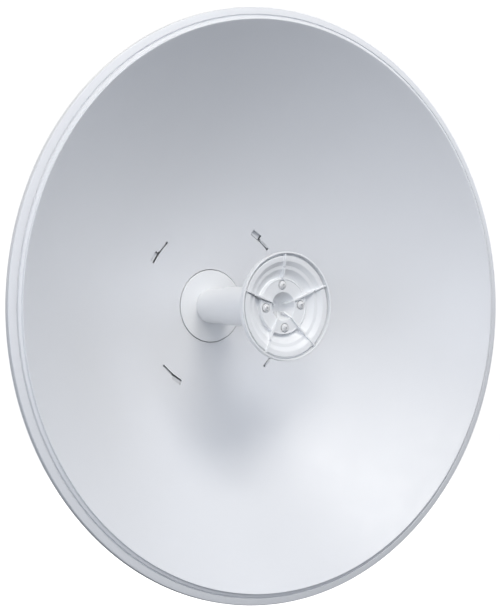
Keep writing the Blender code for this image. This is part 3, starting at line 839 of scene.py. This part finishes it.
def washer(radius, hole, low, high, steps=48):
    """A flat ring between two heights."""
    corners = [(radius, low, 0.0002), (radius, high, 0.0003), (hole, high, 0.0002), (hole, low, 0.0002)]
    return lathe("washer", rounded(corners, closed=True, steps=2), steps, None, closed=True)


def hex_bolt(name, node, seat, direction, length):
    """A hexagon head with its washer on a seat, and a threaded shank of this length into the seat."""
    parts = [
        washer(WASHER_RADIUS, BOLT_RADIUS, 0.0, WASHER_HEIGHT),
        loft("head", hex_body(HEX_FLATS, 0.0043)),
        shank(length),
    ]
    parts[1].data.transform(Matrix.Translation((0, 0, WASHER_HEIGHT)))
    bolt = joined(name, parts)
    bolt.data.transform(along(seat, tuple(-part for part in direction)))
    dress(bolt, STEEL, "stainless_steel", node)


def nut(name, node, seat, direction):
    """A hexagon nut, chamfered on both faces, with its washer on a seat."""
    parts = [
        washer(WASHER_RADIUS, BOLT_RADIUS + 0.0002, 0.0, WASHER_HEIGHT),
        loft("nut", hex_body(HEX_FLATS, NUT_HEIGHT, BOLT_RADIUS + 0.0001, True), capped=False),
    ]
    parts[1].data.transform(Matrix.Translation((0, 0, WASHER_HEIGHT)))
    made = joined(name, parts)
    made.data.transform(along(seat, direction))
    dress(made, STEEL, "stainless_steel", node)


def make_tilt_bolts():
    """Bolts from outside through cheek and ear on each side, with their nuts inside."""
    cheek_outer = EAR_INNER_X + EAR_THICKNESS + SEAT_GAP + PLATE + SEAT_GAP
    inner = EAR_INNER_X - SEAT_GAP
    length = cheek_outer - inner + NUT_REACH + 0.003
    for side, word in SIDES:
        for z, height in ((-TILT_Z, "lower"), (TILT_Z, "upper")):
            inward, spot = (-side, 0, 0), f"{word}_{height}"
            outside, inside = (side * cheek_outer, TILT_Y, z), (side * inner, TILT_Y, z)
            hex_bolt(f"hex_bolt_{spot}", f"tilt_bolt_{spot}", outside, inward, length)
            nut(f"hex_nut_{spot}", f"tilt_nut_{spot}", inside, inward)


def make_clamp_bolts():
    """Cup-head bolts through the web and both jaws, with their nuts behind."""
    seat = WEB_FRONT - SEAT_GAP
    back = REAR_JAW_BACK + SEAT_GAP
    tail = back + NUT_REACH + 0.010
    cup = [(0, 0.0045), (0.0050, 0.0042, 0.006), (0.0088, 0.0014, 0.002), (0.0090, 0.0, 0.0004), (0, 0)]
    for side, sideword in SIDES:
        for up, upword in ((-1, "lower"), (1, "upper")):
            x, z, spot = side * CLAMP_X, up * CLAMP_Z, f"{upword}_{sideword}"
            parts = [lathe("dome", rounded(cup, steps=6), 48, None), shank(tail - seat)]
            bolt = joined(f"cup_bolt_{spot}", parts)
            bolt.data.transform(along((x, seat, z), (0, -1, 0)))
            dress(bolt, STEEL, "stainless_steel", f"clamp_bolt_{spot}")
            nut(f"flange_nut_{spot}", f"clamp_nut_{spot}", (x, back, z), (0, 1, 0))


# Ears, bracket and clamp

# Outlines in Y and Z drawn out along X, and outlines in X and Z drawn out along Y
SIDE_VIEW = Matrix(((0, 0, 1, 0), (1, 0, 0, 0), (0, 1, 0, 0), (0, 0, 0, 1)))
REAR_VIEW = Matrix(((1, 0, 0, 0), (0, 0, -1, 0), (0, 1, 0, 0), (0, 0, 0, 1)))


def side_holes(side):
    """Cutters for the two tilt bolts through one ear and cheek."""
    cutters = []
    for z in (-TILT_Z, TILT_Z):
        cutters.append(rod("hole", BOLT_HOLE, (side * 0.046, TILT_Y, z), (side * 0.070, TILT_Y, z)))
    return cutters


def make_ears():
    """Bent plates with their feet on the hub, and the screws that hold the feet."""
    face = HUB_Y + SEAT_GAP
    tip = WEB_FRONT - 0.0107
    tall, short = 0.045, 0.042
    for side, word in SIDES:
        inner, outer, foot = EAR_INNER_X, EAR_INNER_X + EAR_THICKNESS, EAR_INNER_X + 0.032
        points = [
            (side * inner, face, 0.0065),
            (side * foot, face),
            (side * foot, face + EAR_THICKNESS),
            (side * outer, face + EAR_THICKNESS, 0.0030),
            (side * outer, tip),
            (side * inner, tip),
        ]
        ear = prism("ear", rounded(points, closed=True, steps=8), -tall, tall)
        sheet = rounded(
            [
                (face - 0.001, -tall, 0.003),
                (face + 0.030, -tall, 0.010),
                (face + 0.045, -short, 0.010),
                (tip + 0.0001, -short, 0.012),
                (tip + 0.0001, short, 0.012),
                (face + 0.045, short, 0.010),
                (face + 0.030, tall, 0.010),
                (face - 0.001, tall, 0.003),
            ],
            closed=True,
        )
        combine(ear, [prism("sheet", sheet, -0.1, 0.1, SIDE_VIEW)], "INTERSECT")
        combine(ear, side_holes(side))
        bevelled(ear, 0.0005, 2)
        ear.name = f"bent_ear_{word}"
        dress(ear, ZINC, "galvanised_steel", f"tilt_ear_{word}")
        for number, z in ((1, -0.030), (2, 0.030)):
            flange = 0.0009
            parts = [washer(0.0060, 0.002, 0.0, flange), loft("head", hex_body(0.0098, 0.0026))]
            parts[1].data.transform(Matrix.Translation((0, 0, flange)))
            screw = joined(f"foot_screw_{word}_{number}", parts)
            seat = (side * 0.074, face + EAR_THICKNESS + SEAT_GAP, z)
            screw.data.transform(along(seat, (0, 1, 0)))
            dress(screw, STEEL, "stainless_steel", f"ear_screw_{word}_{number}")


def make_bracket():
    """A bent channel: cheeks outside the ears, a web behind them, and a raised pad on its rear."""
    inner = EAR_INNER_X + EAR_THICKNESS + SEAT_GAP
    outer = inner + PLATE
    tip = WEB_FRONT - 0.056
    web_half, cheek_half, bend = 0.095, 0.050, WEB_FRONT - 0.0022
    points = [
        (-outer, WEB_REAR, 0.0060),
        (-outer, tip),
        (-inner, tip),
        (-inner, WEB_FRONT, 0.0020),
        (inner, WEB_FRONT, 0.0020),
        (inner, tip),
        (outer, tip),
        (outer, WEB_REAR, 0.0060),
    ]
    bracket = prism("bracket", rounded(points, closed=True, steps=8), -web_half, web_half)
    side = rounded(
        [
            (WEB_REAR + 0.001, -0.096),
            (WEB_REAR + 0.001, 0.096),
            (bend, 0.096),
            (bend, cheek_half, 0.0015),
            (tip - 0.0001, cheek_half, 0.010),
            (tip - 0.0001, -cheek_half, 0.010),
            (bend, -cheek_half, 0.0015),
            (bend, -0.096),
        ],
        closed=True,
    )
    combine(bracket, [prism("side", side, -0.1, 0.1, SIDE_VIEW)], "INTERSECT")
    corners = ((0.0624, 0.0951), (-0.0624, 0.0951), (-0.0624, -0.0951), (0.0624, -0.0951))
    rear = rounded([(x, z, 0.008) for x, z in corners], closed=True)
    combine(bracket, [prism("rear", rear, -0.1, 0.1, REAR_VIEW)], "INTERSECT")
    pad = [
        rounded_rectangle(0.0312, 0.0392, 0.006, WEB_REAR - 0.001),
        rounded_rectangle(0.0312, 0.0392, 0.006, WEB_REAR),
        rounded_rectangle(0.0303, 0.0383, 0.0052, -0.0003),
        rounded_rectangle(0.0296, 0.0376, 0.0045, 0.0),
    ]
    combine(bracket, [loft("pad", pad)], "UNION")
    cutters = side_holes(-1) + side_holes(1)
    for x in (-CLAMP_X, CLAMP_X):
        for z in (-CLAMP_Z, CLAMP_Z):
            cutters.append(rod("hole", BOLT_HOLE, (x, -0.02, z), (x, 0.02, z)))
    combine(bracket, cutters)
    bevelled(bracket, 0.0004, 2)
    bracket.name = "channel_bracket"
    dress(bracket, ZINC, "galvanised_steel", "mast_bracket")


def jaw_outline(back, opens):
    """A jaw with a toothed V notch; opens is +1 where the notch looks backwards."""
    depth, notch, half, deep = 0.022, 0.030, 0.060, 0.015
    face = back + opens * depth
    points = [(-half, back, 0.002), (half, back, 0.002), (half, face, 0.003)]
    teeth = 9
    flank = []
    for tooth in range(teeth):
        share = tooth / teeth
        x = notch * (1 - share)
        y = face - opens * deep * share
        flank.append((x, y))
        step = 0.5 / teeth
        flank.append((notch * (1 - share - step) + 0.0001, face - opens * (deep * (share + step) - 0.0011)))
    flank = flank[:-1] + [(0.0012, face - opens * deep)]
    points += flank + [(-x, y) for x, y in reversed(flank)] + [(-half, face, 0.003)]
    return rounded(points, closed=True, steps=4)


def jaw_pocket(x, back, opens, edge, up):
    """A shallow pocket in a jaw's upper or lower face, beside the notch."""
    left, right, depth = x - 0.0075, x + 0.0075, 0.010
    low_y, high_y = sorted((back + opens * 0.003, back + opens * 0.0085))
    corners = [(left, low_y, 0.001), (right, low_y, 0.001), (right, high_y, 0.002), (left, high_y, 0.002)]
    low, high = sorted((edge, edge - up * depth))
    return prism("pocket", rounded(corners, closed=True, steps=3), low, high + 0.0001)


def make_jaws():
    """Two pairs of cast jaws round the mast, with holes for the clamp bolts."""
    for name, back, opens in (("front", WEB_REAR + SEAT_GAP, 1), ("rear", REAR_JAW_BACK, -1)):
        for word, z in (("lower", -CLAMP_Z), ("upper", CLAMP_Z)):
            jaw = prism("jaw", jaw_outline(back, opens), z - JAW_HALF, z + JAW_HALF)
            cutters = []
            for x in (-CLAMP_X, CLAMP_X):
                cutters.append(rod("hole", BOLT_HOLE, (x, back - 0.05, z), (x, back + 0.05, z)))
            for x in (-0.0335, 0.0335):
                for up in (-1, 1):
                    cutters.append(jaw_pocket(x, back, opens, z + up * JAW_HALF, up))
            combine(jaw, cutters)
            bevelled(jaw, 0.0005, 2)
            jaw.name = f"toothed_{name}_jaw_{word}"
            dress(jaw, ZINC, "galvanised_steel", f"{name}_jaw_{word}")


make_reflector()
make_tabs()
make_feed()
make_subreflector()
make_cap()
make_cap_screws()
make_hub()
make_housing()
make_port_cover()
make_ears()
make_tilt_bolts()
make_bracket()
make_jaws()
make_clamp_bolts()


# Stage, light and camera


def make_stage():
    """A pale round floor that curves up into a backdrop. Its glow reaches the camera, but not the part."""
    floor, reach, top, bend = -0.62, 6.0, 5.0, 1.2
    path = rounded([(0.0, floor), (reach, floor, bend), (reach, top)], steps=24)
    stage = lathe("studio_floor", path, 96, Matrix.Identity(4))
    stage.data.shade_smooth()
    paper = Look("studio_paper", (0.93, 0.93, 0.93), 0.9)
    paper.set("Base Color", paper.mixed(paper.noise(3.0, 2.0), (0.92, 0.92, 0.92), (0.94, 0.94, 0.94)))
    paper.set("Emission Color", (1.0, 1.0, 1.0, 1.0))
    paper.set("Emission Strength", 0.9)
    stage.data.materials.append(paper.material)
    stage.visible_diffuse = False
    stage.visible_glossy = False
    stage.visible_shadow = False


NEUTRAL = (1.03, 1.0, 0.95)
COOL = (0.94, 1.0, 1.12)
LIGHT_DISTANCE = 2.6
# Name, degrees from the front towards +X, degrees up, width in metres, watts, colour
SOFTBOXES = (
    ("key", 0, 50, 1.1, 24.5, NEUTRAL),
    ("upper_left", -30, 35, 0.8, 12.2, NEUTRAL),
    ("upper_right", 20, 25, 1.2, 7.0, COOL),
    ("front", -10, 0, 1.2, 6.3, COOL),
    ("front_left", -40, 0, 1.2, 10.0, COOL),
    ("left", -70, 0, 1.2, 13.0, COOL),
    ("right", 80, 25, 2.2, 24.5, COOL),
    ("back_left", -150, 30, 2.8, 25.0, NEUTRAL),
    ("back_right", 150, 30, 2.8, 25.0, NEUTRAL),
)


def softbox(name, place, target, size, power, colour):
    """A square area light at place that faces target."""
    data = bpy.data.lights.new(name, "AREA")
    data.size = size
    data.energy = power
    data.color = colour
    light = bpy.data.objects.new(name, data)
    bpy.context.scene.collection.objects.link(light)
    light.location = place
    light.rotation_euler = (target - place).to_track_quat("-Z", "Y").to_euler()


def make_light():
    """Softboxes round the part, and a little light from all sides."""
    world = bpy.data.worlds.new("studio_air")
    world.use_nodes = True
    air = world.node_tree.nodes["Background"]
    air.inputs["Color"].default_value = (0.96, 1.0, 1.06, 1.0)
    air.inputs["Strength"].default_value = 0.08
    bpy.context.scene.world = world
    middle = Vector((0, -0.2, 0))
    for name, azimuth, elevation, size, power, colour in SOFTBOXES:
        side, rise = math.radians(azimuth), math.radians(elevation)
        away = Vector((math.sin(side) * math.cos(rise), -math.cos(side) * math.cos(rise), math.sin(rise)))
        softbox(name, middle + away * LIGHT_DISTANCE, middle, size, power, colour)


def make_camera():
    """A pinhole camera solved from the ellipses of the dish, its base disc and its subreflector."""
    yaw, pitch, roll = (math.radians(angle) for angle in (-34.634, -0.28, 0.659))
    distance, focal_pixels, frame_pixels, sensor = 1.53444, 1263.36, 500, 36
    target = Vector((0.05638, VERTEX_Y - front_of_sheet(BASE_RADIUS), 0.00237))
    back = Vector((math.sin(yaw) * math.cos(pitch), -math.cos(yaw) * math.cos(pitch), math.sin(pitch)))
    right = (-back).cross(Vector((0, 0, 1))).normalized()
    up = right.cross(-back)
    across = right * math.cos(roll) + up * math.sin(roll)
    upward = up * math.cos(roll) - right * math.sin(roll)
    data = bpy.data.cameras.new("photo_camera")
    data.sensor_fit = "HORIZONTAL"
    data.sensor_width = sensor
    data.lens = focal_pixels * sensor / frame_pixels
    data.clip_start, data.clip_end = 0.05, 50
    camera = bpy.data.objects.new("photo_camera", data)
    bpy.context.scene.collection.objects.link(camera)
    turn = Matrix((across, upward, back)).transposed().to_4x4()
    camera.matrix_world = Matrix.Translation(target + back * distance) @ turn
    bpy.context.scene.camera = camera


make_stage()
make_light()
make_camera()
bpy.context.scene.view_settings.view_transform = "Standard"
